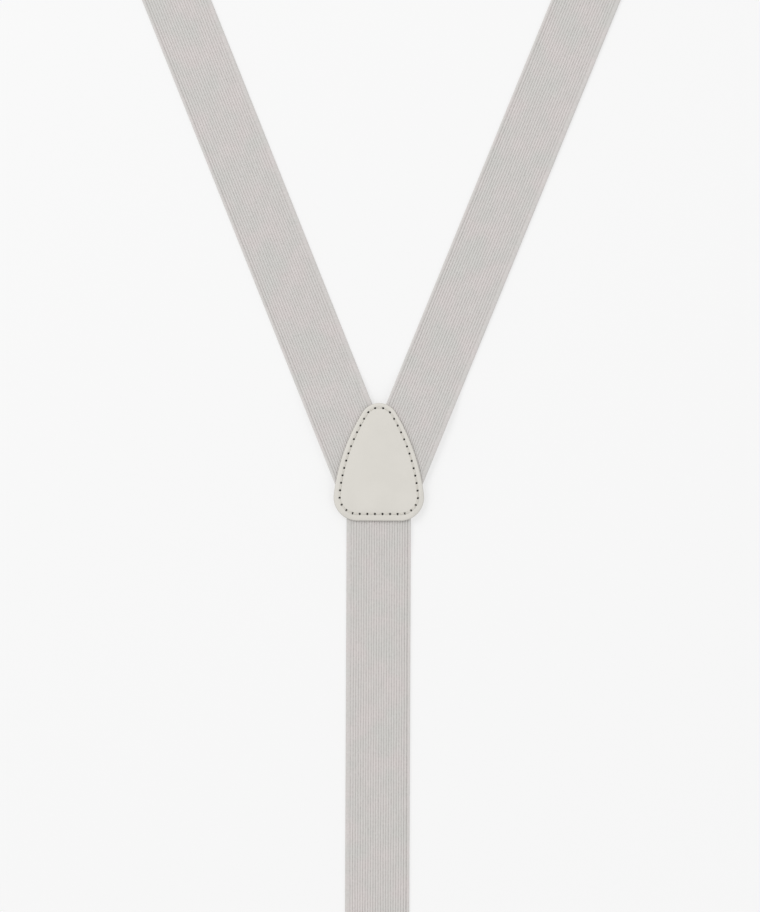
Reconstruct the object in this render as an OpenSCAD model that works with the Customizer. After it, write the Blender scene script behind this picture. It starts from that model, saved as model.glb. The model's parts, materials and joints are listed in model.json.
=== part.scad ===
// Y-back dress suspenders, laid flat with the outer face up.
// Lengths are in millimetres. +Z is up, +Y points to the front clips, and x = 0 is the mirror plane.

/* [Webbing] */
// Width of the elastic webbing
web_w = 35; // [32:1:36]
// Thickness of the webbing
web_t = 1.2; // [1:0.1:1.2]
// Length of each shoulder webbing, from the V round the ring to the adjuster
shoulder_len = 800; // [780:10:860]
// Distance from the V to the middle of the adjuster
adjuster_at = 345; // [330:5:380]
// Angle of each shoulder strap from the middle line
strap_angle = 22; // [20:0.5:24]
// Distance from the patch's lower edge to the back ring
back_len = 264; // [230:2:290]

/* [Patch] */
// Thickness of the front leather
leather_t = 1.4; // [1.2:0.1:1.6]
// Thickness of the lining under the webbing
lining_t = 1; // [0.8:0.1:1.2]
// Distance between needle holes
stitch_pitch = 4.1; // [3.6:0.1:5]
// Distance of the stitch line from the edge
stitch_inset = 3; // [2.5:0.1:3.5]
// Diameter of the sewing thread
thread_d = 0.7; // [0.5:0.1:0.9]

/* [Hardware] */
// Thickness of the stamped metal
plate_t = 1.2; // [1:0.1:1.2]
// Diameter of the ring's wire
wire_d = 2.8; // [2.6:0.1:2.8]
// Distance between the ring's two bars
ring_l = 11; // [11:0.5:13]
// Length of a clip from its ring bar to the jaw
clip_l = 44; // [43:1:48]
// Width of a clip
clip_w = 31; // [28:1:32]

/* [Hidden] */
$fn = 48;

// Gaps: between plies, between the two butted shoulder straps, and all round a turning pin.
ply_gap = 0.15;
rest_gap = 0.02;
butt_gap = 0.2;
run_fit = 0.05;

// Heights of the plies' middles, and the webbing's run round the ring.
wire_r = wire_d / 2;
loop_r = wire_r + 0.4 + web_t / 2;
bar_z = loop_r + web_t / 2;
first_z = web_t / 2;
second_z = first_z + web_t + ply_gap;
third_z = second_z + web_t + ply_gap;
tail_z = lining_t + web_t / 2;
strap_z = tail_z + web_t + rest_gap;
leather_z = strap_z + web_t / 2 + rest_gap;
ring_at = (shoulder_len + adjuster_at) / 2;
doubled = ring_at - adjuster_at;
fold_len = 24;
fold_at = 14;

// Adjuster.
adj_half = 21.5;
adj_end = 12;
adj_round = 2;
adj_pin_y = -6;
adj_pin_r = 1;
frame_z = web_t + 0.2;
seat_z = frame_z + plate_t + 0.1 + web_t / 2;
adj_pin_z = seat_z + web_t / 2 + 2.7;
wrap_r = plate_t / 2 + 0.2 + web_t / 2;
over_fold_z = 2 * wrap_r + web_t + ply_gap + web_t / 2;

// Ring.
corner_r = 3;
ring_half = web_w / 2 + 0.6 + corner_r;

// Clip, measured from the ring's outer bar.
eye_w = 16;
jaw_y = 36;
jaw_z = 4;
jaw_pin_r = 1.2;
clip_round = 3;
pad_w = clip_w - 7;
rivet_y = 16;
rivet_r = 1;
spring_t = 0.5;
spring_z = plate_t - bar_z + rest_gap + spring_t / 2;

// The box that the laid-out suspenders fill has its middle at the origin.
v_y = 7.6;
front_reach = v_y + (ring_at + ring_l + clip_l - clip_round) * cos(strap_angle)
    + (clip_w / 2 - clip_round) * sin(strap_angle) + clip_round;
back_reach = back_len + ring_l + clip_l;
patch_y = (back_reach - front_reach) / 2;

// Round corners of the patch: x, y and radius. Each side between them bulges on a large radius.
patch_top = [0, 53.5, 10.6];
patch_foot = [11.7, 12.9, 12.9];
side_r = 112;

// ---- Patch outline: circles that touch, anticlockwise from the top ----
// Centre of the large circle that touches the top and the left foot from outside.
function side_centre(top, foot, r) =
    let (d = [foot.x - top.x, foot.y - top.y],
         near = r - top.z,
         far = r - foot.z,
         a = (near * near - far * far + d * d) / (2 * norm(d)),
         h = sqrt(near * near - a * a),
         u = unit(d))
    [top.x + a * u.x - h * u.y, top.y + a * u.y + h * u.x, r];
function mirrored(c) = [-c.x, c.y, c.z];
left_side = side_centre(patch_top, mirrored(patch_foot), side_r);
patch_corners = [patch_top, left_side, mirrored(patch_foot), patch_foot, mirrored(left_side)];
function tangent_angle(a, b) =
    let (d = [b.x - a.x, b.y - a.y])
    atan2(d.y, d.x) - acos(max(-1, min(1, (a.z - b.z) / norm(d))));
function on_circle(c, inset, a) = [c.x + (c.z - inset) * cos(a), c.y + (c.z - inset) * sin(a)];
function patch_ring(inset, step) = [
    for (i = [0 : len(patch_corners) - 1])
        let (n = len(patch_corners),
             here = patch_corners[i],
             a0 = tangent_angle(patch_corners[(i + n - 1) % n], here),
             a1 = tangent_angle(here, patch_corners[(i + 1) % n]),
             sweep = (a1 - a0 + 720) % 360,
             cuts = max(1, round(sweep * PI / 180 * here.z / step)),
             shared = here.z == side_r ? 1 : 0)
        for (k = [shared : cuts - shared]) on_circle(here, inset, a0 + sweep * k / cuts)
];
function run_to(pts, i) = i == 0 ? 0 : run_to(pts, i - 1) + norm(pts[i] - pts[i - 1]);
function along(pts, s, i = 0) =
    let (a = pts[i], b = pts[(i + 1) % len(pts)], d = norm(b - a))
    s <= d || i >= len(pts) - 1 ? a + (b - a) * (d > 0 ? s / d : 0) : along(pts, s - d, i + 1);

// ---- Flat webbing that follows a line of [y, z] points ----
function unit(v) = v / norm(v);
function side_of(p, i) =
    let (a = p[max(0, i - 1)], b = p[min(len(p) - 1, i + 1)], d = unit(b - a)) [-d.y, d.x];
module ribbon(path, t, w) {
    n = len(path) - 1;
    upper = [for (i = [0 : n]) path[i] + side_of(path, i) * t / 2];
    lower = [for (i = [n : -1 : 0]) path[i] - side_of(path, i) * t / 2];
    rotate([90, 0, 90]) linear_extrude(w, center = true) polygon(concat(upper, lower));
}
function ease(y0, z0, y1, z1, n = 6) =
    [for (i = [0 : n]) [y0 + (y1 - y0) * i / n, z0 + (z1 - z0) * (1 - cos(180 * i / n)) / 2]];
function arc(y, z, r, a0, a1, n = 12) =
    [for (i = [0 : n]) let (a = a0 + (a1 - a0) * i / n) [y + r * cos(a), z + r * sin(a)]];
module cross_bar(y, z, r, l) translate([0, y, z]) rotate([0, 90, 0]) cylinder(h = l, r = r, center = true);
module profile_bar(points, w) rotate([90, 0, 90]) linear_extrude(w, center = true) polygon(points);

// ---- Places ----
module on_strap(side) translate([0, patch_y + v_y, 0]) rotate([0, 0, -side * strap_angle]) children();
module at_adjuster(side) on_strap(side) translate([0, adjuster_at, 0]) children();
module at_ring(side) {
    if (side == 0) translate([0, patch_y - back_len, 0]) rotate([0, 0, 180]) children();
    else on_strap(side) translate([0, ring_at, 0]) children();
}
module at_clip(side) at_ring(side) translate([0, ring_l, bar_z]) children();

// ---- Patch ----
module patch_front() color([0.86, 0.85, 0.81])
    translate([0, patch_y, leather_z]) linear_extrude(leather_t) polygon(patch_ring(0, 2.5));
module patch_lining() color([0.80, 0.79, 0.75])
    translate([0, patch_y, 0]) linear_extrude(lining_t) polygon(patch_ring(0.4, 2.5));
module patch_stitching() color([0.93, 0.92, 0.89]) {
    line = patch_ring(stitch_inset, 2.5);
    around = run_to(line, len(line) - 1) + norm(line[0] - line[len(line) - 1]);
    count = round(around / stitch_pitch);
    for (i = [0 : count - 1]) {
        a = along(line, around * (i + 0.2) / count);
        b = along(line, around * (i + 0.8) / count);
        d = b - a;
        translate([a.x, patch_y + a.y, leather_z + leather_t + thread_d / 2])
            rotate([0, 90, atan2(d.y, d.x)])
                cylinder(h = norm(d), d = thread_d, $fn = 14);
    }
}

// ---- Webbing ----
module shoulder_strap(side) color([0.79, 0.77, 0.76]) intersection() {
    on_strap(side) ribbon(concat(
        [[5, strap_z]],
        ease(56, strap_z, 82, first_z),
        ease(adjuster_at - 44, first_z, adjuster_at - 15, seat_z),
        [[adjuster_at + 1, seat_z]]), web_t, web_w);
    translate([side * (200 + butt_gap / 2), 0, 0]) cube([400, 1200, 40], center = true);
}
module back_strap() color([0.79, 0.77, 0.76])
    translate([0, patch_y, 0]) rotate([0, 0, 180]) ribbon(concat(
        [[-24, tail_z]],
        ease(3, tail_z, 24, first_z),
        [[back_len, first_z]],
        arc(back_len, bar_z, loop_r, -75, 90, 14),
        ease(back_len - 4, bar_z + loop_r, back_len - fold_at, second_z),
        [[back_len - fold_at - fold_len, second_z]]), web_t, web_w);
// From inside the adjuster, over its own stitched fold, round the ring and back to the frame's bar.
module strap_loop() color([0.79, 0.77, 0.76]) ribbon(concat(
    [[1.2, seat_z]],
    ease(2, seat_z, 6.5, over_fold_z),
    ease(13, over_fold_z, 20, third_z),
    ease(18 + fold_len, third_z, 30 + fold_len, second_z),
    ease(doubled - 20, second_z, doubled - 5, bar_z + loop_r),
    arc(doubled, bar_z, loop_r, 90, -90, 16),
    [[9, first_z]],
    arc(8, first_z + wrap_r, wrap_r, 270, 90, 10),
    ease(12, first_z + 2 * wrap_r, 18, second_z),
    [[16 + fold_len, second_z]]), web_t, web_w);
// Two rows of stitches that hold a turned-back end.
module seam(y, z) color([0.90, 0.89, 0.86])
    for (row = [0, 1], i = [-4 : 4])
        translate([i * 3.6, y + row * 4, z + thread_d / 2]) rotate([0, 90, 0])
            cylinder(h = 2.6, d = thread_d, center = true, $fn = 14);
module back_strap_seam() at_ring(0) seam(5 - fold_at - fold_len, second_z + web_t / 2);
module loop_seam(side) at_adjuster(side) seam(26, third_z + web_t / 2);

// An upright lug: a round head on a straight neck that stands on the plate.
module ear_plate(y, z, r, z0)
    profile_bar(concat([[y - r, z0], [y + r, z0]], arc(y, z, r, 0, 180, 16)), plate_t);

// ---- Adjuster ----
module adjuster_frame() color([0.72, 0.72, 0.73]) difference() {
    union() {
        translate([0, 0, frame_z]) linear_extrude(plate_t) difference() {
            hull() for (x = [-1, 1], y = [-1, 1])
                translate([x * (adj_half - adj_round), y * (adj_end - adj_round)]) circle(adj_round);
            translate([-web_w / 2 - 0.7, 3.2]) square([web_w + 1.4, 5.6]);
        }
        for (x = [-1, 1]) translate([x * (adj_half - plate_t / 2), 0, 0])
            ear_plate(adj_pin_y, adj_pin_z, 2.6, frame_z);
    }
    cross_bar(adj_pin_y, adj_pin_z, adj_pin_r + run_fit, 60);
}
module adjuster_lever() color([0.78, 0.78, 0.79]) difference() {
    w = 2 * (adj_half - plate_t) - 0.8;
    y = adj_pin_y;
    z = adj_pin_z;
    union() {
        cross_bar(y, z, 1.9, w);
        profile_bar([[y, z + 0.7], [10, z + 0.7], [13, z + 0.3], [16, z + 1.2], [16, z + 2.3],
            [13, z + 1.5], [10, z + 1.9], [y, z + 1.9]], w);
        profile_bar([[y - 1, z], [y - 0.5, z - 2.2], [y + 0.5, z - 2.2], [y + 1, z]], web_w);
        // Teeth that bite the webbing.
        for (i = [-8 : 8]) translate([i * 2, y - 0.5, z - 2.55]) rotate([-90, 0, 0])
            linear_extrude(1) polygon([[0, 0], [-0.8, -0.6], [0.8, -0.6]]);
    }
    cross_bar(y, z, adj_pin_r + run_fit, 60);
}
module adjuster_pin() color([0.62, 0.62, 0.63]) {
    cross_bar(adj_pin_y, adj_pin_z, adj_pin_r, 2 * adj_half + 1);
    for (x = [-1, 1]) translate([x * (adj_half + 0.55), 0, 0]) cross_bar(adj_pin_y, adj_pin_z, 1.6, 0.9);
}

// ---- Ring ----
module ring() color([0.75, 0.75, 0.76]) translate([0, 0, bar_z]) {
    for (y = [0, ring_l]) cross_bar(y, 0, wire_r, 2 * (ring_half - corner_r));
    for (x = [-1, 1]) {
        translate([x * ring_half, corner_r, 0]) rotate([-90, 0, 0])
            cylinder(h = ring_l - 2 * corner_r, r = wire_r);
        for (y = [0, 1])
            translate([x * (ring_half - corner_r), y == 0 ? corner_r : ring_l - corner_r, 0])
                rotate([0, 0, x > 0 ? (y == 0 ? -90 : 0) : (y == 0 ? 180 : 90)])
                    rotate_extrude(angle = 90) translate([corner_r, 0]) circle(wire_r);
    }
}

// ---- Clip ----
module clip_base() color([0.74, 0.74, 0.75]) difference() {
    union() {
        cross_bar(0, 0, bar_z, eye_w);
        translate([0, 0, -bar_z]) linear_extrude(plate_t) {
            translate([-eye_w / 2, 0]) square([eye_w, 12]);
            hull() for (x = [-1, 1]) {
                translate([x * (clip_w / 2 - clip_round), clip_l - clip_round]) circle(clip_round);
                translate([x * (clip_w / 2 - 2), 13]) circle(2);
                translate([x * (eye_w / 2 - 1), 6]) circle(1);
            }
        }
        for (x = [-1, 1]) translate([x * (clip_w / 2 - plate_t / 2), 0, 0])
            ear_plate(jaw_y, jaw_z, 3, -bar_z);
    }
    cross_bar(0, 0, wire_r + run_fit, 60);
    cross_bar(jaw_y, jaw_z, jaw_pin_r + run_fit, 60);
    translate([0, rivet_y, -bar_z - 1]) cylinder(h = plate_t + 2, r = rivet_r + rest_gap);
}
module clip_lever() color([0.80, 0.80, 0.81]) difference() {
    w = clip_w - 2 * plate_t - 0.8;
    y = jaw_y;
    z = jaw_z;
    intersection() {
        union() {
            cross_bar(y, z, 2.2, w);
            profile_bar([[y, z + 1], [11, z + 1], [8, z + 2], [6, z + 2], [6, z + 3.1], [8.4, z + 3.1],
                [11.4, z + 2.2], [y, z + 2.2]], w);
            profile_bar([[y - 1.8, z], [y - 1.8, z - 3.1], [y + 1.8, z - 3.1], [y + 1.8, z]], w - 3);
        }
        translate([0, 0, -20]) linear_extrude(40) hull() {
            for (x = [-1, 1]) translate([x * (w / 2 - 5), 11]) circle(5);
            translate([-w / 2, 30]) square([w, 12]);
        }
    }
    cross_bar(y, z, jaw_pin_r + run_fit, 60);
}
module clip_pin() color([0.62, 0.62, 0.63]) {
    cross_bar(jaw_y, jaw_z, jaw_pin_r, clip_w + 0.6);
    for (x = [-1, 1]) translate([x * (clip_w / 2 + 0.55), 0, 0]) cross_bar(jaw_y, jaw_z, 1.9, 0.9);
}
// Leaf spring, riveted to the base, that bears on the lever's nose.
module clip_spring() color([0.55, 0.56, 0.58]) difference() {
    ribbon(concat([[12, spring_z]], ease(21, spring_z, 32, 1), [[33.8, 1.2]]), spring_t, 9);
    translate([0, rivet_y, -bar_z]) cylinder(h = 4, r = rivet_r + rest_gap);
}
module clip_rivet() color([0.62, 0.62, 0.63]) translate([0, rivet_y, 0]) {
    translate([0, 0, -bar_z + 0.05]) cylinder(h = plate_t + 0.6, r = rivet_r);
    translate([0, 0, spring_z + spring_t / 2 + rest_gap]) cylinder(h = 0.7, r = 2 * rivet_r);
}
module lower_jaw_pad() color([0.25, 0.25, 0.26]) {
    y = jaw_y - 3.5;
    z = plate_t - bar_z + 0.01;
    h = 0.75;
    profile_bar(concat([[y, z], [y + 7, z]],
        [for (i = [7 : -1 : 1]) each [[y + i, z + h], [y + i - 0.5, z + h + 0.19]]],
        [[y, z + h]]), pad_w);
}
module upper_jaw_pad() color([0.25, 0.25, 0.26]) {
    y = jaw_y;
    z = jaw_z - 3.12;
    profile_bar([[y - 1.7, z], [y - 1.7, z - 0.78], [y - 0.85, z - 1.03], [y, z - 0.78],
        [y + 0.85, z - 1.03], [y + 1.7, z - 0.78], [y + 1.7, z]], pad_w);
}

patch_front();
patch_lining();
patch_stitching();
back_strap();
back_strap_seam();
shoulder_strap(-1);  // left_shoulder_strap
at_adjuster(-1) strap_loop();  // left_strap_loop
loop_seam(-1);  // left_loop_seam
at_adjuster(-1) adjuster_frame();  // left_adjuster_frame
at_adjuster(-1) adjuster_lever();  // left_adjuster_lever
at_adjuster(-1) adjuster_pin();  // left_adjuster_pin
shoulder_strap(1);  // right_shoulder_strap
at_adjuster(1) strap_loop();  // right_strap_loop
loop_seam(1);  // right_loop_seam
at_adjuster(1) adjuster_frame();  // right_adjuster_frame
at_adjuster(1) adjuster_lever();  // right_adjuster_lever
at_adjuster(1) adjuster_pin();  // right_adjuster_pin
at_ring(-1) ring();  // left_ring
at_clip(-1) clip_base();  // left_clip_base
at_clip(-1) clip_lever();  // left_clip_lever
at_clip(-1) clip_pin();  // left_clip_pin
at_clip(-1) clip_spring();  // left_clip_spring
at_clip(-1) clip_rivet();  // left_clip_rivet
at_clip(-1) lower_jaw_pad();  // left_lower_jaw_pad
at_clip(-1) upper_jaw_pad();  // left_upper_jaw_pad
at_ring(1) ring();  // right_ring
at_clip(1) clip_base();  // right_clip_base
at_clip(1) clip_lever();  // right_clip_lever
at_clip(1) clip_pin();  // right_clip_pin
at_clip(1) clip_spring();  // right_clip_spring
at_clip(1) clip_rivet();  // right_clip_rivet
at_clip(1) lower_jaw_pad();  // right_lower_jaw_pad
at_clip(1) upper_jaw_pad();  // right_upper_jaw_pad
at_ring(0) ring();  // back_ring
at_clip(0) clip_base();  // back_clip_base
at_clip(0) clip_lever();  // back_clip_lever
at_clip(0) clip_pin();  // back_clip_pin
at_clip(0) clip_spring();  // back_clip_spring
at_clip(0) clip_rivet();  // back_clip_rivet
at_clip(0) lower_jaw_pad();  // back_lower_jaw_pad
at_clip(0) upper_jaw_pad();  // back_upper_jaw_pad
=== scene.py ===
import json
import math

import bmesh
import bpy
from mathutils import Matrix, Vector


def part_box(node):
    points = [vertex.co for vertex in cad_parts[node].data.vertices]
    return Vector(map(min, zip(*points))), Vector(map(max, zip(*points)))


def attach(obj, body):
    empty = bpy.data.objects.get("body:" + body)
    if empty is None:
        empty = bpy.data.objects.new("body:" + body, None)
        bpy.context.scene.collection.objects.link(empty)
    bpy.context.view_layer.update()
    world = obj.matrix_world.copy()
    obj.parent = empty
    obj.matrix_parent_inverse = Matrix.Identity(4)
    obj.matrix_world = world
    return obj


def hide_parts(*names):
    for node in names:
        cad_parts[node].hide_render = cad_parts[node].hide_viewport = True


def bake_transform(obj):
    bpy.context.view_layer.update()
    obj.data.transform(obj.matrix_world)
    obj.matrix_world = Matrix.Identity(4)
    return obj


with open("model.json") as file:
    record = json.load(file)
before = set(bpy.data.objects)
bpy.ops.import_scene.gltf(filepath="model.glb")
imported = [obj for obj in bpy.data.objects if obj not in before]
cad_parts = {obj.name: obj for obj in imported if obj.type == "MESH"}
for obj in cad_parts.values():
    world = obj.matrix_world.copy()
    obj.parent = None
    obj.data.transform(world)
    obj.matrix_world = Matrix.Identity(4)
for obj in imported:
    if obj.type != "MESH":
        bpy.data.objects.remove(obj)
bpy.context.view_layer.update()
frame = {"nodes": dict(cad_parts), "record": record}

# ---- Sizes, in millimetres ----
MM = 0.001  # metres
WEB_W = 35.0
WEB_T = 1.2
RIBS = 22
LEFT_SELVEDGE = 1.8
RIGHT_SELVEDGE = 2.7
GROOVE = 0.27
RING_STEP = 2.5
STRAP_ANGLE = math.radians(22)
V_HEIGHT = 7.6
PLY_GAP = 0.15
PRESSED_GAP = 0.02
HALF_BUTT_GAP = 0.1
FIRST_Z = WEB_T / 2
SECOND_Z = FIRST_Z + WEB_T + PLY_GAP
THIRD_Z = SECOND_Z + WEB_T + PLY_GAP
FOLD = 24.0
FOLD_AT = 14.0
BACK_LEN = 264.0
PIN_BEFORE_MIDDLE = 6.0
PIN_OVER_SEAT = 3.3
RING_L = 11.0
LINING_T = 1.0
LINING_SHRINK = 0.4
LEATHER_T = 1.4
STITCHES = 40
STITCH_INSET = 3.0
THREAD_D = 0.62
THREAD_SINK = 0.02
SEAM_PITCH = 3.6
# Round corners of the patch: x, y and radius. Each side between them bulges on a large radius.
PATCH_TOP = (0.0, 53.5, 10.6)
PATCH_FOOT = (11.7, 12.9, 12.9)
SIDE_R = 112.0


# ---- Places, read from the frame ----
def joint_place(name):
    joint = next(j for j in frame["record"]["behaviour"]["joints"] if j["name"] == name)
    return Vector(joint["pos_m"]) / MM


PATCH_LOW = Vector(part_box("patch_front")[0]) / MM
PATCH_Y = PATCH_LOW.y
V_POINT = Vector((0, PATCH_Y + V_HEIGHT, 0))
PATCH_BASE = PATCH_LOW.z
THREAD_Z = PATCH_BASE + LEATHER_T - THREAD_SINK
ADJUSTER_PIN = joint_place("right_adjuster_lever_hinge")
CLIP_BAR = joint_place("right_clip_swivel")
BAR_Z = CLIP_BAR.z
ADJUSTER_AT = (ADJUSTER_PIN.xy - V_POINT.xy).length + PIN_BEFORE_MIDDLE
RING_AT = (CLIP_BAR.xy - V_POINT.xy).length - RING_L
DOUBLED = RING_AT - ADJUSTER_AT
LOOP_R = BAR_Z - WEB_T / 2
SEAT_Z = ADJUSTER_PIN.z - PIN_OVER_SEAT
WRAP_R = 1.4
OVER_FOLD_Z = 2 * WRAP_R + WEB_T + PLY_GAP + WEB_T / 2
TAIL_Z = LINING_T + WEB_T / 2
STRAP_Z = TAIL_Z + WEB_T + PRESSED_GAP


def frame_body(name):
    bodies = frame["record"]["behaviour"]["bodies"]
    return next(body for body, names in bodies.items() if name in names)


def on_strap(side):
    """Matrix from a shoulder strap's own millimetres, +Y outwards, to the frame's metres."""
    return Matrix.Scale(MM, 4) @ Matrix.Translation(V_POINT) @ Matrix.Rotation(-side * STRAP_ANGLE, 4, "Z")


def at_adjuster(side):
    return on_strap(side) @ Matrix.Translation((0, ADJUSTER_AT, 0))


def down_the_back():
    return Matrix.Scale(MM, 4) @ Matrix.Translation((0, PATCH_Y, 0)) @ Matrix.Rotation(math.pi, 4, "Z")


# ---- Materials ----
# Painted shade: the colour that the needle holes and the leather's edge are darkened towards.
PAINTED_SHADE_COLOUR = (0.010, 0.008, 0.007, 1)


def new_material(name):
    mat = bpy.data.materials.new(name)
    mat.use_nodes = True
    return mat, mat.node_tree.nodes, mat.node_tree.links, mat.node_tree.nodes["Principled BSDF"]


def node(nodes, kind, **inputs):
    made = nodes.new(kind)
    for key, value in inputs.items():
        name = key.replace("_", " ")
        if name in made.inputs:
            made.inputs[name].default_value = value
        else:
            setattr(made, key, value)
    return made


def ramp(nodes, stops):
    made = nodes.new("ShaderNodeValToRGB")
    elements = made.color_ramp.elements
    while len(elements) < len(stops):
        elements.new(0.5)
    for element, (place, colour) in zip(elements, stops):
        element.position = place
        element.color = (*colour, 1)
    return made


def mixed(nodes, links, kind, amount, first, second):
    made = nodes.new("ShaderNodeMix")
    made.data_type = "RGBA"
    made.blend_type = kind
    if isinstance(amount, float):
        made.inputs["Factor"].default_value = amount
    else:
        links.new(amount, made.inputs["Factor"])
    links.new(first, made.inputs["A"])
    links.new(second, made.inputs["B"])
    return made.outputs["Result"]


def mapped(nodes, links, source, scale=(1, 1, 1), turn=0.0):
    """The source coordinates turned by some degrees about Z and scaled."""
    made = nodes.new("ShaderNodeMapping")
    made.inputs["Scale"].default_value = scale
    made.inputs["Rotation"].default_value = (0, 0, math.radians(turn))
    links.new(source, made.inputs["Vector"])
    return made.outputs["Vector"]


def textured(nodes, links, kind, source, **inputs):
    made = node(nodes, kind, **inputs)
    links.new(source, made.inputs["Vector"])
    return made


def noise(nodes, links, source, **inputs):
    return textured(nodes, links, "ShaderNodeTexNoise", source, **inputs).outputs["Fac"]


def toned(nodes, links, amount, stops):
    """A colour ramp driven by an amount."""
    made = ramp(nodes, stops)
    links.new(amount, made.inputs["Fac"])
    return made.outputs["Color"]


def tinted(nodes, links, colour, amount, stops):
    """The colour multiplied by a ramp driven by an amount."""
    return mixed(nodes, links, "MULTIPLY", 1.0, colour, toned(nodes, links, amount, stops))


def added(nodes, links, first, second):
    made = node(nodes, "ShaderNodeMath", operation="ADD")
    links.new(first, made.inputs[0])
    links.new(second, made.inputs[1])
    return made.outputs["Value"]


def bumped(nodes, links, shader, height, strength, distance):
    bump = node(nodes, "ShaderNodeBump", Strength=strength, Distance=distance)
    links.new(height, bump.inputs["Height"])
    links.new(bump.outputs["Normal"], shader.inputs["Normal"])


def grey(value):
    return (value, value, value)


def webbing_material():
    """Ribbed elastic: paler rib crowns and darker grooves as painted light and shade, slanted yarns, cross
    picks and soft blotches.
    """
    mat, nodes, links, shader = new_material("webbing")
    uv_map = node(nodes, "ShaderNodeUVMap")
    uv_map.uv_map = "weave"
    uv = uv_map.outputs["UV"]
    height = nodes.new("ShaderNodeAttribute")
    height.attribute_name = "rib"

    streaks = noise(nodes, links, mapped(nodes, links, uv, scale=(1.1, 0.11, 1)),
                    Scale=1.0, Detail=3.0, Roughness=0.6)
    yarns = textured(nodes, links, "ShaderNodeTexWave", mapped(nodes, links, uv, turn=24),
                     bands_direction="Y", Scale=0.62, Distortion=1.4, Detail=2.0).outputs["Fac"]
    picks = textured(nodes, links, "ShaderNodeTexWave", uv,
                     bands_direction="Y", Scale=0.31, Distortion=0.5, Detail=1.0).outputs["Fac"]
    blotch = noise(nodes, links, uv, Scale=0.06, Detail=2.0)
    broken = noise(nodes, links, mapped(nodes, links, uv, scale=(0.9, 0.75, 1), turn=6),
                   Scale=1.0, Detail=2.0, Roughness=0.65)
    breaks = nodes.new("ShaderNodeMapRange")
    for name, value in (("From Min", 0.3), ("From Max", 0.7), ("To Min", -0.24), ("To Max", 0.24)):
        breaks.inputs[name].default_value = value
    links.new(broken, breaks.inputs["Value"])

    # Painted light and shade: the colour runs from dark in the grooves to pale on the rib crowns, broken up
    # by noise.
    colour = toned(nodes, links, added(nodes, links, height.outputs["Fac"], breaks.outputs["Result"]),
                   [(0.0, (0.505, 0.479, 0.465)), (0.45, (0.621, 0.592, 0.575)),
                    (1.0, (0.693, 0.666, 0.651))])
    colour = tinted(nodes, links, colour, streaks, [(0.3, grey(0.965)), (0.7, grey(1.028))])
    colour = tinted(nodes, links, colour, yarns, [(0.0, grey(0.965)), (1.0, grey(1.025))])
    colour = tinted(nodes, links, colour, blotch,
                    [(0.35, (0.968, 0.992, 0.982)), (0.65, (1.024, 1.002, 1.006))])
    links.new(colour, shader.inputs["Base Color"])

    bumped(nodes, links, shader, added(nodes, links, yarns, picks), 0.45, 0.00012)
    shader.inputs["Roughness"].default_value = 0.86
    shader.inputs["Specular IOR Level"].default_value = 0.25
    shader.inputs["Sheen Weight"].default_value = 0.12
    shader.inputs["Sheen Roughness"].default_value = 0.5
    return mat


def leather_material(name, pale, dark, roughness, grain_depth):
    """Smooth finished leather: fine pebbled grain, faint mottling, and painted shade in the needle holes and
    on the edge.
    """
    mat, nodes, links, shader = new_material(name)
    place = nodes.new("ShaderNodeTexCoord").outputs["Object"]
    hole = nodes.new("ShaderNodeAttribute")
    hole.attribute_name = "hole"
    mottle = noise(nodes, links, place, Scale=55.0, Detail=4.0, Roughness=0.55)
    shadow = node(nodes, "ShaderNodeRGB")
    shadow.outputs[0].default_value = PAINTED_SHADE_COLOUR
    # Painted shade mixed in where the hole attribute says, in the needle holes and on the edge.
    colour = mixed(nodes, links, "MIX", hole.outputs["Fac"],
                   toned(nodes, links, mottle, [(0.3, dark), (0.7, pale)]), shadow.outputs[0])
    links.new(colour, shader.inputs["Base Color"])
    grain = textured(nodes, links, "ShaderNodeTexVoronoi", place, feature="SMOOTH_F1", Scale=1700.0)
    creases = noise(nodes, links, place, Scale=420.0, Detail=5.0, Roughness=0.6)
    bumped(nodes, links, shader, added(nodes, links, grain.outputs["Distance"], creases), 0.25, grain_depth)
    finish = [(0.3, grey(roughness - 0.05)), (0.7, grey(roughness + 0.07))]
    links.new(toned(nodes, links, creases, finish), shader.inputs["Roughness"])
    shader.inputs["Specular IOR Level"].default_value = 0.4
    return mat


def thread_material():
    """Twisted sewing thread, with its ply as slanted bands."""
    mat, nodes, links, shader = new_material("thread")
    place = nodes.new("ShaderNodeTexCoord").outputs["Object"]
    ply = textured(nodes, links, "ShaderNodeTexWave", mapped(nodes, links, place, turn=35),
                   Scale=900.0, Distortion=0.8).outputs["Fac"]
    tone = [(0.0, (0.60, 0.575, 0.52)), (1.0, (0.80, 0.775, 0.72))]
    links.new(toned(nodes, links, ply, tone), shader.inputs["Base Color"])
    bumped(nodes, links, shader, ply, 0.5, 0.00008)
    shader.inputs["Roughness"].default_value = 0.55
    shader.inputs["Sheen Weight"].default_value = 0.2
    return mat


def metal_material(name, colour, smoothest, roughest, brushed):
    """Plated metal: fine brush lines or polish marks in the roughness, with worn patches in the colour."""
    mat, nodes, links, shader = new_material(name)
    place = nodes.new("ShaderNodeTexCoord").outputs["Object"]
    lines = noise(nodes, links, mapped(nodes, links, place, scale=(brushed, 120, 120)),
                  Scale=18.0, Detail=4.0, Roughness=0.6)
    worn = noise(nodes, links, place, Scale=140.0, Detail=3.0)
    shade = [(0.3, tuple(c * 0.88 for c in colour)), (0.7, colour)]
    links.new(toned(nodes, links, worn, shade), shader.inputs["Base Color"])
    finish = [(0.3, grey(smoothest)), (0.7, grey(roughest))]
    links.new(toned(nodes, links, lines, finish), shader.inputs["Roughness"])
    bumped(nodes, links, shader, lines, 0.12, 0.00003)
    shader.inputs["Metallic"].default_value = 1.0
    return mat


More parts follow.
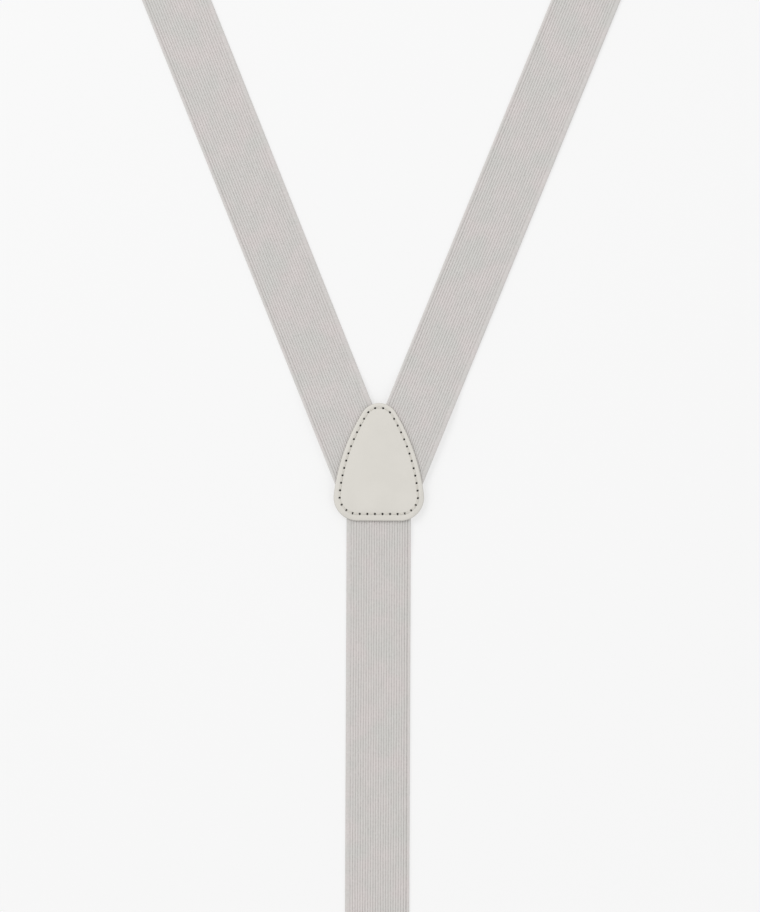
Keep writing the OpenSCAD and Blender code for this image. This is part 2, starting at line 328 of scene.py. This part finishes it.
def rubber_material():
    """Dark moulded rubber with a fine matt texture and dusty patches."""
    mat, nodes, links, shader = new_material("jaw_rubber")
    place = nodes.new("ShaderNodeTexCoord").outputs["Object"]
    dust = noise(nodes, links, place, Scale=260.0, Detail=4.0)
    tone = [(0.35, (0.022, 0.022, 0.024)), (0.75, (0.050, 0.050, 0.053))]
    links.new(toned(nodes, links, dust, tone), shader.inputs["Base Color"])
    bumped(nodes, links, shader, noise(nodes, links, place, Scale=2600.0, Detail=2.0), 0.3, 0.00005)
    shader.inputs["Roughness"].default_value = 0.72
    return mat


WEBBING = webbing_material()
LEATHER = leather_material("patch_leather", (0.737, 0.712, 0.660), (0.702, 0.678, 0.627), 0.46, 0.00006)
LINING = leather_material("lining_leather", (0.66, 0.62, 0.55), (0.56, 0.52, 0.45), 0.8, 0.00012)
THREAD = thread_material()
NICKEL = metal_material("satin_nickel", (0.70, 0.69, 0.67), 0.26, 0.42, 3)
POLISHED = metal_material("polished_nickel", (0.76, 0.75, 0.73), 0.10, 0.22, 40)
SPRING_STEEL = metal_material("spring_steel", (0.33, 0.35, 0.40), 0.28, 0.45, 6)
RUBBER = rubber_material()


# ---- Camera, floor and light ----
# Metres, except the sensor and the aim, which are in millimetres.
VIEW_WIDTH = 0.497
CAMERA_HEIGHT = 2.4
SENSOR_WIDTH = 36
AIM_X = 0.55
AIM_ABOVE_PATCH_FOOT = 35.3
CAMERA_TURN = math.radians(0.24)
FLOOR_Z = -0.0002
FLOOR_GLOW = 0.545
WORLD_LIGHT = 0.72


def add_camera():
    """Looks straight down on the patch with a long lens."""
    data = bpy.data.cameras.new("camera")
    data.sensor_width = SENSOR_WIDTH
    data.lens = SENSOR_WIDTH * CAMERA_HEIGHT / VIEW_WIDTH
    camera = bpy.data.objects.new("camera", data)
    bpy.context.scene.collection.objects.link(camera)
    camera.location = (AIM_X * MM, (PATCH_Y + AIM_ABOVE_PATCH_FOOT) * MM, CAMERA_HEIGHT)
    camera.rotation_euler = (0, 0, CAMERA_TURN)
    bpy.context.scene.camera = camera


def add_floor():
    """A pale table that glows as well as being lit, so that shadows on it are faint."""
    bpy.ops.mesh.primitive_plane_add(size=12, location=(0, 0, FLOOR_Z))
    floor = bpy.context.object
    floor.name = "floor"
    mat, _, _, shader = new_material("floor")
    shader.inputs["Base Color"].default_value = (0.4, 0.4, 0.4, 1)
    shader.inputs["Emission Color"].default_value = (1, 1, 1, 1)
    shader.inputs["Emission Strength"].default_value = FLOOR_GLOW
    shader.inputs["Roughness"].default_value = 0.9
    shader.inputs["Specular IOR Level"].default_value = 0.1
    floor.data.materials.append(mat)


def add_light(name, place, size, power):
    data = bpy.data.lights.new(name, "AREA")
    data.size = size
    data.energy = power
    lamp = bpy.data.objects.new(name, data)
    bpy.context.scene.collection.objects.link(lamp)
    lamp.location = place
    lamp.rotation_euler = (-Vector(place)).to_track_quat("-Z", "Y").to_euler()


def add_studio():
    scene = bpy.context.scene
    scene.view_settings.view_transform = "Standard"
    world = bpy.data.worlds.new("studio")
    world.use_nodes = True
    background = world.node_tree.nodes["Background"]
    background.inputs["Color"].default_value = (1, 1, 1, 1)
    background.inputs["Strength"].default_value = WORLD_LIGHT
    scene.world = world
    add_light("key", (-1.6, 1.5, 2.2), 1.6, 30)
    add_light("fill", (1.8, -1.2, 2.0), 2.2, 8)


add_camera()
add_floor()
add_studio()


# ---- Shaping helpers ----
def clamp(t):
    return min(1.0, max(0.0, t))


def smooth(t):
    t = clamp(t)
    return t * t * (3 - 2 * t)


def ease(y0, z0, y1, z1, n=10):
    """A smooth step from one [y, z] point to another."""
    rise = [(1 - math.cos(math.pi * i / n)) / 2 for i in range(n + 1)]
    return [(y0 + (y1 - y0) * i / n, z0 + (z1 - z0) * share) for i, share in enumerate(rise)]


def arc(y, z, r, a0, a1, n=18):
    turns = [math.radians(a0 + (a1 - a0) * i / n) for i in range(n + 1)]
    return [(y + r * math.cos(a), z + r * math.sin(a)) for a in turns]


SAME_POINT = 1e-4


def evenly(points, step):
    """The same line with points added, so that none are further apart than step."""
    line = [Vector(points[0])]
    for point in points[1:]:
        start, end = line[-1].copy(), Vector(point)
        length = (end - start).length
        if length < SAME_POINT:
            continue
        cuts = max(1, math.ceil(length / step))
        line += [start.lerp(end, k / cuts) for k in range(1, cuts + 1)]
    return line


def finish_piece(piece, mat):
    piece.data.materials.clear()
    piece.data.materials.append(mat)
    return piece


def mesh_piece(name, verts, faces):
    mesh = bpy.data.meshes.new(name)
    mesh.from_pydata(verts, [], faces)
    mesh.validate()
    piece = bpy.data.objects.new(name, mesh)
    bpy.context.scene.collection.objects.link(piece)
    return piece


# ---- Webbing ----
RIB_STEPS = 6
RIB_FULLNESS = 0.7
# The first grooves from the left are deeper.
DEEP_GROOVES = 2
DEEPER = 1.35
# Rounded edges, left to right: distance in from the edge, share of the full height, and rib crown, which sets
# the painted light and shade.
LEFT_EDGE = ((0.0, 0.0, 0.6), (0.1, 0.6, 0.8), (0.35, 0.9, 1.0), (1.08, 0.97, 1.0))
RIGHT_EDGE = ((0.9, 0.97, 0.8), (0.35, 0.9, 0.8), (0.1, 0.6, 0.7), (0.0, 0.0, 0.5))
# Sideways stray of a rib as sine waves: size, webbing length per radian, and radians per millimetre across.
STRAYS = ((0.05, 13.0, 0.35), (0.03, 5.3, -1.7), (0.03, 2.9, 4.1))
STRAY_FADE = 3.0


def weave_section():
    """Across the webbing: [x, height above the middle, rib crown from 0 to 1], left to right."""
    half = WEB_W / 2
    crown = WEB_T / 2
    pitch = (WEB_W - LEFT_SELVEDGE - RIGHT_SELVEDGE) / RIBS
    section = [(-half + inset, crown * share, tone) for inset, share, tone in LEFT_EDGE]
    for rib in range(RIBS):
        for k in range(RIB_STEPS):
            t = k / RIB_STEPS
            lift = abs(math.sin(math.pi * t)) ** RIB_FULLNESS
            depth = GROOVE * (DEEPER if k == 0 and rib < DEEP_GROOVES else 1.0)
            section.append((-half + LEFT_SELVEDGE + (rib + t) * pitch, crown - depth * (1 - lift), lift))
    section += [(half - RIGHT_SELVEDGE, crown - GROOVE * 0.8, 0.2), (half - RIGHT_SELVEDGE + 0.5, crown, 0.8)]
    section += [(half - inset, crown * share, tone) for inset, share, tone in RIGHT_EDGE]
    return section


def wander(x, run):
    """Small sideways stray of a rib along the webbing, none at the edges."""
    stray = sum(size * math.sin(run / length + slant * x) for size, length, slant in STRAYS)
    return stray * min(1.0, (WEB_W / 2 - abs(x)) / STRAY_FADE)


def add_webbing(name, points, place):
    """Ribbed webbing along a line of [y, z] points, both faces woven, with a weave map in millimetres."""
    top = weave_section()
    under = [(x, -z, c) for x, z, c in reversed(top[1:-1])]
    loop = top + under
    line = evenly(points, RING_STEP)
    verts, crowns, across, travel = [], [], [], []
    run = 0.0
    for i, here in enumerate(line):
        before, after = line[max(0, i - 1)], line[min(len(line) - 1, i + 1)]
        along = (after - before).normalized()
        out = Vector((-along.y, along.x))
        run += (here - before).length if i else 0.0
        for x, h, c in loop:
            spot = here + out * h
            verts.append(place @ Vector((x + wander(x, run), spot.x, spot.y)))
            crowns.append(c)
            across.append(x)
            travel.append(run)
    count = len(loop)
    faces = []
    for i in range(len(line) - 1):
        for k in range(count):
            n = (k + 1) % count
            faces.append((i * count + k, i * count + n, (i + 1) * count + n, (i + 1) * count + k))
    faces.append(tuple(reversed(range(count))))
    last = (len(line) - 1) * count
    faces.append(tuple(last + k for k in range(count)))
    piece = mesh_piece(name, verts, faces)
    mesh = piece.data
    # The rib crown sets the webbing's painted light and shade.
    rib = mesh.attributes.new("rib", "FLOAT", "POINT")
    rib.data.foreach_set("value", crowns)
    layer = mesh.uv_layers.new(name="weave")
    for corner in mesh.loops:
        layer.data[corner.index].uv = (across[corner.vertex_index], travel[corner.vertex_index])
    turn_outwards(piece)
    mesh.shade_smooth()
    return finish_piece(piece, WEBBING)


def turn_outwards(piece):
    shape = bmesh.new()
    shape.from_mesh(piece.data)
    bmesh.ops.recalc_face_normals(shape, faces=shape.faces)
    shape.to_mesh(piece.data)
    shape.free()


def trim_at_middle(piece, side):
    """Cuts a shoulder webbing on the middle line, where the two ends butt under the leather."""
    shape = bmesh.new()
    shape.from_mesh(piece.data)
    everything = shape.verts[:] + shape.edges[:] + shape.faces[:]
    cut = bmesh.ops.bisect_plane(shape, geom=everything, plane_co=(side * HALF_BUTT_GAP * MM, 0, 0),
                                 plane_no=(-side, 0, 0), clear_outer=True)
    rim = [e for e in cut["geom_cut"] if isinstance(e, bmesh.types.BMEdge)]
    bmesh.ops.edgeloop_fill(shape, edges=rim)
    bmesh.ops.recalc_face_normals(shape, faces=shape.faces)
    shape.to_mesh(piece.data)
    shape.free()


# Along a shoulder strap from the V: start, ramp from the patch down to the table, start of the blend.
SHOULDER_START = 5
OFF_PATCH = (56, 82)
# Before the adjuster's middle: the ramp up to its seat. The blend ends just before it.
UP_TO_SEAT = (44, 15)
# The webbing changes node just past the adjuster's middle, with a hairline gap.
NODE_CHANGE = 1
NODE_GAP = 0.2
# Along the loop from the adjuster's middle: over the fold, down past its tail, start of the blend.
UP_THE_FOLD = (2, 6.5)
DOWN_THE_FOLD = (13, 20)
OFF_THE_TAIL = (18, 30)
LOOP_SEAM_AT = 26
# Before the ring: the ramp up to it.
UP_TO_RING = (20, 5)
# Back from the ring under the first run, round the adjuster's bar and out again as the fold's tail.
LOWER_RUN_END = 9
WRAP_AT = 8
TAIL_RAMP = (12, 18)
TAIL_END = 16
# Along the back strap from the patch's lower edge: start, ramp off the lining, start of the blend.
BACK_START = -24
OFF_LINING = (3, 24)
# Back from the ring: start of the ramp down to the fold. The blend ends before the fold's tail.
DOWN_FROM_RING = 4
BACK_SEAM_FROM_END = 5


def add_shoulder_webbing(side, word):
    points = ([(SHOULDER_START, STRAP_Z)] + ease(OFF_PATCH[0], STRAP_Z, OFF_PATCH[1], FIRST_Z)
              + ease(ADJUSTER_AT - UP_TO_SEAT[0], FIRST_Z, ADJUSTER_AT - UP_TO_SEAT[1], SEAT_Z)
              + [(ADJUSTER_AT + NODE_CHANGE, SEAT_Z)])
    place = on_strap(side)
    piece = add_webbing(word + "_shoulder_webbing", points, place)
    trim_at_middle(piece, side)
    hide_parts(word + "_shoulder_strap")
    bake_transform(piece)


def add_loop_webbing(side, word):
    """From inside the adjuster, over its own stitched fold, round the ring and back to the frame's bar."""
    points = ([(NODE_CHANGE + NODE_GAP, SEAT_Z)]
              + ease(UP_THE_FOLD[0], SEAT_Z, UP_THE_FOLD[1], OVER_FOLD_Z)
              + ease(DOWN_THE_FOLD[0], OVER_FOLD_Z, DOWN_THE_FOLD[1], THIRD_Z)
              + ease(OFF_THE_TAIL[0] + FOLD, THIRD_Z, OFF_THE_TAIL[1] + FOLD, SECOND_Z)
              + ease(DOUBLED - UP_TO_RING[0], SECOND_Z, DOUBLED - UP_TO_RING[1], BAR_Z + LOOP_R)
              + arc(DOUBLED, BAR_Z, LOOP_R, 90, -90)
              + [(LOWER_RUN_END, FIRST_Z)] + arc(WRAP_AT, FIRST_Z + WRAP_R, WRAP_R, 270, 90)
              + ease(TAIL_RAMP[0], FIRST_Z + 2 * WRAP_R, TAIL_RAMP[1], SECOND_Z)
              + [(TAIL_END + FOLD, SECOND_Z)])
    place = at_adjuster(side)
    piece = add_webbing(word + "_loop_webbing", points, place)
    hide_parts(word + "_strap_loop")
    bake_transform(piece)
    add_seam(word + "_loop_thread", place, LOOP_SEAM_AT, THIRD_Z + WEB_T / 2, word + "_loop_seam")


def add_back_webbing():
    fold_end = BACK_LEN - FOLD_AT - FOLD
    points = ([(BACK_START, TAIL_Z)] + ease(OFF_LINING[0], TAIL_Z, OFF_LINING[1], FIRST_Z)
              + [(BACK_LEN, FIRST_Z)] + arc(BACK_LEN, BAR_Z, LOOP_R, -75, 90)
              + ease(BACK_LEN - DOWN_FROM_RING, BAR_Z + LOOP_R, BACK_LEN - FOLD_AT, SECOND_Z)
              + [(fold_end, SECOND_Z)])
    place = down_the_back()
    piece = add_webbing("back_webbing", points, place)
    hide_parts("back_strap")
    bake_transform(piece)
    add_seam("back_thread", place, fold_end + BACK_SEAM_FROM_END, SECOND_Z + WEB_T / 2, "back_strap_seam")


# ---- Leather patch ----
def side_circle(top, foot):
    """The large circle that touches the top and the left foot from outside."""
    dx, dy = foot[0] - top[0], foot[1] - top[1]
    span = math.hypot(dx, dy)
    near, far = SIDE_R - top[2], SIDE_R - foot[2]
    a = (near ** 2 - far ** 2 + span ** 2) / (2 * span)
    h = math.sqrt(near ** 2 - a ** 2)
    return (top[0] + (a * dx - h * dy) / span, top[1] + (a * dy + h * dx) / span, SIDE_R)


def mirrored(circle):
    return (-circle[0], circle[1], circle[2])


def touching_angle(a, b):
    """Direction from the centre of circle a to where it hands over to circle b, going anticlockwise."""
    dx, dy = b[0] - a[0], b[1] - a[1]
    share = (a[2] - b[2]) / math.hypot(dx, dy)
    return math.atan2(dy, dx) - math.acos(max(-1.0, min(1.0, share)))


def patch_line(samples):
    """Points and outward normals at equal steps round the stitch line, from the hole left of the top."""
    side = side_circle(PATCH_TOP, mirrored(PATCH_FOOT))
    corners = [PATCH_TOP, side, mirrored(PATCH_FOOT), PATCH_FOOT, mirrored(side)]
    spans = []
    for i, here in enumerate(corners):
        after = corners[(i + 1) % len(corners)]
        start, end = touching_angle(corners[i - 1], here), touching_angle(here, after)
        r = here[2] - STITCH_INSET
        spans.append((r * ((end - start) % (2 * math.pi)), here, r, start, 0.0))
        gap = (after[0] - here[0]) ** 2 + (after[1] - here[1]) ** 2 - (after[2] - here[2]) ** 2
        spans.append((math.sqrt(max(0.0, gap)), here, r, end, 1.0))
    total = sum(span[0] for span in spans)
    first = spans[0][0] / 2 + total / STITCHES / 2
    line = []
    for k in range(samples):
        s = (first + total * k / samples) % total
        for length, centre, r, start, straight in spans:
            if s < length:
                break
            s -= length
        a = start + (0.0 if straight else s / r)
        out = Vector((math.cos(a), math.sin(a)))
        spot = Vector(centre[:2]) + out * r + Vector((-out.y, out.x)) * s * straight
        line.append((spot, out))
    return line, total


def stitch_shift(y):
    """How much further in than STITCH_INSET the needle goes: less at the top, more at the foot."""
    down = clamp((STITCH_TOP_Y - y) / STITCH_SPAN_Y)
    return SHIFT_AT_TOP + SHIFT_DOWNWARDS * down + SHIFT_AT_FOOT * down ** 4


# Points round the leather's outline to each stitch.
PER_STITCH = 16
# Distance in from the edge and height as a share of the thickness, from the underside round to the top.
EDGE = [(9.0, 0.0), (3.0, 0.0), (0.45, 0.0), (0.12, 0.08), (0.0, 0.28), (0.0, 0.62), (0.1, 0.82),
        (0.35, 0.95), (0.8, 1.0)]
TOP_INSETS = [1.4, 1.9, 2.3, 2.55, 2.75, 2.9, 3.0, 3.1, 3.25, 3.45, 3.7, 4.1, 4.8, 6.0, 7.5, 9.0]
RINGS = EDGE + [(inset, 1.0) for inset in TOP_INSETS]
# Rings further in, as shares of the way out from the middle to the last inset.
MIDDLE = [0.75, 0.5, 0.25, 0.08]
PATCH_CENTRE = Vector((0, 26))
CROWN = 0.22
CROWN_FROM, CROWN_OVER = 3.2, 5
MIDDLE_RISE = 0.1
EDGE_ROLL, EDGE_ROLL_W = 0.08, 2.6
# The furrow that the stitches pull, and the needle holes in it. Depths and half-lengths, then the strength of
# the painted shade in the holes.
FURROW, FURROW_W = 0.13, 0.5
HOLE_DEPTH, HOLE_ALONG, HOLE_ACROSS, HOLE_SHADE = 0.8, 0.72, 0.56, 3.0
# Painted shade on the leather's rounded edge, as a share of the way towards the painted shade colour of the
# holes.
EDGE_PAINTED_SHADE = 0.2
# Where the stitch line starts and how far down it runs, and how its inset changes on the way.
STITCH_TOP_Y, STITCH_SPAN_Y = 61.5, 58
SHIFT_AT_TOP, SHIFT_DOWNWARDS, SHIFT_AT_FOOT = -0.55, 0.5, 0.85
# How the leather sinks: at the foot below FOOT_Y, and past the straps' edges, which part above SPREAD_Y.
FOOT_Y, FOOT_DROOP = 6.5, 1.0
SPREAD_Y, EDGE_DROOP, EDGE_DROOP_W, EDGE_CLEAR = 5.7, 1.2, 4.5, 0.6


def droop(x, y):
    """How far the front leather sinks at its foot and past the straps' outer edges."""
    strap_edge = WEB_W / 2 + EDGE_CLEAR + math.tan(STRAP_ANGLE) * max(0.0, y - SPREAD_Y)
    at_foot = FOOT_DROOP * smooth((FOOT_Y - y) / FOOT_Y)
    return -at_foot - EDGE_DROOP * smooth((abs(x) - strap_edge) / EDGE_DROOP_W)


def leather_spot(spot, out, phase, level, shrink, thick, holes, pitch):
    """Place of one point of a leather shape, and its painted shade: darker the deeper it lies in a needle
    hole, and a little on the rounded edge.
    """
    shift = stitch_shift(spot.y) if holes else 0.0
    shade = 0.0
    if level < len(RINGS):
        inset, share = RINGS[level]
        z = thick * share
        if holes and share >= 1.0:
            z += CROWN * smooth((inset - CROWN_FROM) / CROWN_OVER)
            z += EDGE_ROLL * math.sin(math.pi * min(1, inset / EDGE_ROLL_W))
            z -= FURROW * math.exp(-((inset - STITCH_INSET) / FURROW_W) ** 2)
            along = (phase + 0.5) % 1.0 - 0.5
            reach = math.hypot(along * pitch / HOLE_ALONG, (inset - STITCH_INSET) / HOLE_ACROSS)
            # Painted shade in the needle hole, darkest at its deepest.
            if reach < 1:
                z -= HOLE_DEPTH * (1 - reach ** 2)
                shade = min(1.0, HOLE_SHADE * (1 - reach ** 2))
        # Painted shade on the rounded edge of the leather.
        elif 0 < share < 0.9:
            shade = EDGE_PAINTED_SHADE
        inset += shift * min(1.0, inset / STITCH_INSET)
        at = spot + out * (STITCH_INSET - inset - shrink)
    else:
        scale = MIDDLE[level - len(RINGS)]
        edge = spot + out * (STITCH_INSET - TOP_INSETS[-1] - shift - shrink)
        at = PATCH_CENTRE.lerp(edge, scale)
        z = thick + (CROWN + MIDDLE_RISE * (1 - scale) if holes else 0.0)
    return Vector((at.x, at.y, z + (droop(at.x, at.y) if holes else 0.0))), shade


def add_leather(name, shrink, base, thick, holes, mat, stands_for):
    """A leather shape with a rounded edge, needle holes and a soft crown, shaped from a ringed cylinder."""
    samples = STITCHES * PER_STITCH
    levels = len(RINGS) + len(MIDDLE)
    line, total = patch_line(samples)
    bpy.ops.mesh.primitive_cylinder_add(vertices=samples, radius=1, depth=levels - 1, end_fill_type="NGON")
    piece = bpy.context.object
    piece.name = name
    shape = bmesh.new()
    shape.from_mesh(piece.data)
    lengthwise = [e for e in shape.edges if abs(e.verts[0].co.z - e.verts[1].co.z) > 1]
    bmesh.ops.subdivide_edges(shape, edges=lengthwise, cuts=levels - 2, use_grid_fill=True)
    dark = []
    for v in shape.verts:
        k = round(math.atan2(v.co.y, v.co.x) / (2 * math.pi) * samples) % samples
        level = round(v.co.z + (levels - 1) / 2)
        at, shade = leather_spot(*line[k], k / PER_STITCH, level, shrink, thick, holes, total / STITCHES)
        v.co = (at + Vector((0, PATCH_Y, base))) * MM
        dark.append(shade)
    bmesh.ops.recalc_face_normals(shape, faces=shape.faces)
    shape.to_mesh(piece.data)
    shape.free()
    # The hole attribute carries the painted shade of the needle holes and the edge.
    piece.data.attributes.new("hole", "FLOAT", "POINT").data.foreach_set("value", dark)
    piece.data.shade_smooth()
    finish_piece(piece, mat)
    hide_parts(stands_for)
    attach(piece, "root")


# A stitch as a share of its pitch, and the shares of its half-length that lie flat and that dive.
PATCH_STITCH, SEAM_STITCH = 0.80, 0.88
FLAT_SHARE = 0.6
DIVE_SHARE = 0.4
THREAD_LIFT = 0.1
DIVE_DEPTH = 0.75
DIVE_PINCH = 0.35
SEAM_SINK = 0.05
SEAM_ROW_GAP = 4
SEAM_HALF_COUNT = 4


def one_stitch(length):
    """A thread that rises out of one hole, lies along the surface and dives into the next."""
    bpy.ops.object.select_all(action="DESELECT")
    bpy.ops.mesh.primitive_cylinder_add(vertices=10, radius=THREAD_D / 2, depth=length,
                                        end_fill_type="TRIFAN", rotation=(0, math.pi / 2, 0))
    stitch = bpy.context.object
    bpy.ops.object.transform_apply(rotation=True)
    shape = bmesh.new()
    shape.from_mesh(stitch.data)
    lengthwise = [e for e in shape.edges if abs(e.verts[0].co.x - e.verts[1].co.x) > length * 0.9]
    bmesh.ops.subdivide_edges(shape, edges=lengthwise, cuts=9)
    for v in shape.verts:
        dive = max(0.0, (abs(v.co.x) / (length / 2) - FLAT_SHARE) / DIVE_SHARE)
        v.co.z += THREAD_LIFT - DIVE_DEPTH * dive ** 2
        v.co.y *= 1 - DIVE_PINCH * dive
    shape.to_mesh(stitch.data)
    shape.free()
    return stitch


def sew(name, length, places, stands_for):
    """One thread piece with a stitch at each place."""
    pattern = one_stitch(length)
    copies = []
    for place in places:
        copy = bpy.data.objects.new("stitch", pattern.data.copy())
        bpy.context.scene.collection.objects.link(copy)
        copy.data.transform(place)
        copies.append(copy)
    bpy.data.objects.remove(pattern)
    bpy.ops.object.select_all(action="DESELECT")
    for copy in copies:
        copy.select_set(True)
    bpy.context.view_layer.objects.active = copies[0]
    bpy.ops.object.join()
    thread = bpy.context.object
    thread.name = name
    thread.data.shade_smooth()
    finish_piece(thread, THREAD)
    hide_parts(stands_for)
    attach(thread, frame_body(stands_for))


def add_patch_stitches():
    line, total = patch_line(STITCHES * 2)
    places = []
    for spot, out in line[1::2]:
        spot = spot - out * stitch_shift(spot.y)
        at = (spot.x, PATCH_Y + spot.y, THREAD_Z + droop(spot.x, spot.y))
        turn = math.atan2(out.x, -out.y)
        places.append(Matrix.Scale(MM, 4) @ Matrix.Translation(at) @ Matrix.Rotation(turn, 4, "Z"))
    sew("patch_thread", total / STITCHES * PATCH_STITCH, places, "patch_stitching")


def add_seam(name, place, start, top, stands_for):
    """Two rows of stitches across the webbing that hold a turned-back end."""
    places = [place @ Matrix.Translation((i * SEAM_PITCH, start + row * SEAM_ROW_GAP, top - SEAM_SINK))
              for row in (0, 1) for i in range(-SEAM_HALF_COUNT, SEAM_HALF_COUNT + 1)]
    sew(name, SEAM_PITCH * SEAM_STITCH, places, stands_for)


# ---- Metal and rubber parts ----
CLIP_ROUND, ADJUSTER_ROUND, RUBBER_ROUND = 0.22, 0.2, 0.1
SAME_VERTEX = 2e-6
FLAT_UNDER = math.radians(1)
ROUND_OVER = math.radians(35)
SMOOTH_UNDER = math.radians(40)


def soften(name, width, mat):
    """A copy of a stamped part with its sharp edges broken by a small round."""
    source = frame["nodes"][name]
    piece = bpy.data.objects.new(name + "_finished", source.data.copy())
    bpy.context.scene.collection.objects.link(piece)
    shape = bmesh.new()
    shape.from_mesh(piece.data)
    bmesh.ops.remove_doubles(shape, verts=shape.verts, dist=SAME_VERTEX)
    bmesh.ops.dissolve_limit(shape, angle_limit=FLAT_UNDER, verts=shape.verts, edges=shape.edges)
    shape.to_mesh(piece.data)
    shape.free()
    bpy.ops.object.select_all(action="DESELECT")
    piece.select_set(True)
    bpy.context.view_layer.objects.active = piece
    bevel = piece.modifiers.new("edge", "BEVEL")
    bevel.width = width * MM
    bevel.segments = 2
    bevel.limit_method = "ANGLE"
    bevel.angle_limit = ROUND_OVER
    bpy.ops.object.modifier_apply(modifier=bevel.name)
    bpy.ops.object.shade_smooth_by_angle(angle=SMOOTH_UNDER)
    finish_piece(piece, mat)
    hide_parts(name)
    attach(piece, frame_body(name))


def dress_node(name, mat):
    part = frame["nodes"][name]
    part.data.materials.clear()
    part.data.materials.append(mat)


def add_hardware():
    for name in frame["nodes"]:
        if name.endswith(("clip_base", "clip_lever")):
            soften(name, CLIP_ROUND, NICKEL)
        elif name.endswith(("adjuster_frame", "adjuster_lever")):
            soften(name, ADJUSTER_ROUND, NICKEL)
        elif "jaw_pad" in name:
            soften(name, RUBBER_ROUND, RUBBER)
        elif name.endswith("clip_spring"):
            dress_node(name, SPRING_STEEL)
        elif name.endswith(("_pin", "_rivet", "_ring")):
            dress_node(name, POLISHED)


for side, word in ((-1, "left"), (1, "right")):
    add_shoulder_webbing(side, word)
    add_loop_webbing(side, word)
add_back_webbing()
add_leather("patch_leather", 0.0, PATCH_BASE, LEATHER_T, True, LEATHER, "patch_front")
add_leather("lining_leather", LINING_SHRINK, 0.0, LINING_T, False, LINING, "patch_lining")
add_patch_stitches()
add_hardware()
